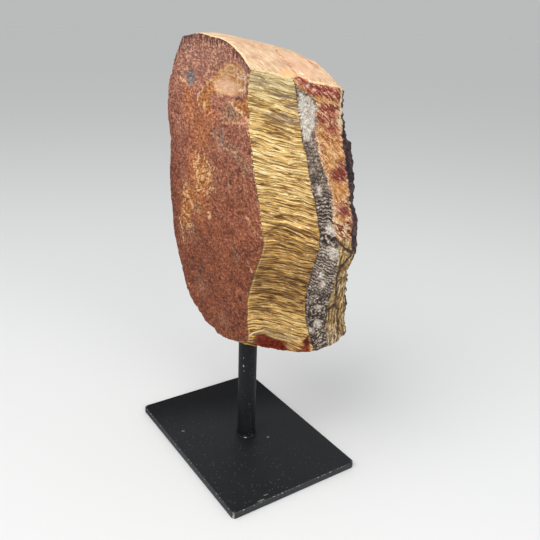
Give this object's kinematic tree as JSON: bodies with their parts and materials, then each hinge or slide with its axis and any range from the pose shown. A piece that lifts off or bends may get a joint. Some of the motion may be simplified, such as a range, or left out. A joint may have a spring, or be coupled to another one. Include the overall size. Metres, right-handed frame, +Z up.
{
  "type": "mineral specimen on stand",
  "caption": "Tall rough tiger's eye slab with jasper, golden fibre and quartz layers, held upright on a round post and rectangular base plate.",
  "frame": {"origin": "centre of the base plate's flat underside", "axes": "+Z up; +X along the plate's long side, towards the stone's banded face; -Y towards the jasper face"},
  "size_m": [0.15, 0.1081, 0.3048],
  "materials": {
    "tigers_eye": "matte",
    "post_coat": "satin",
    "plate_coat": "satin"
  },
  "bodies": {
    "root": {"tigers_eye_stone": "tigers_eye", "stand_post": "post_coat", "base_plate": "plate_coat"}
  },
  "joints": []
}
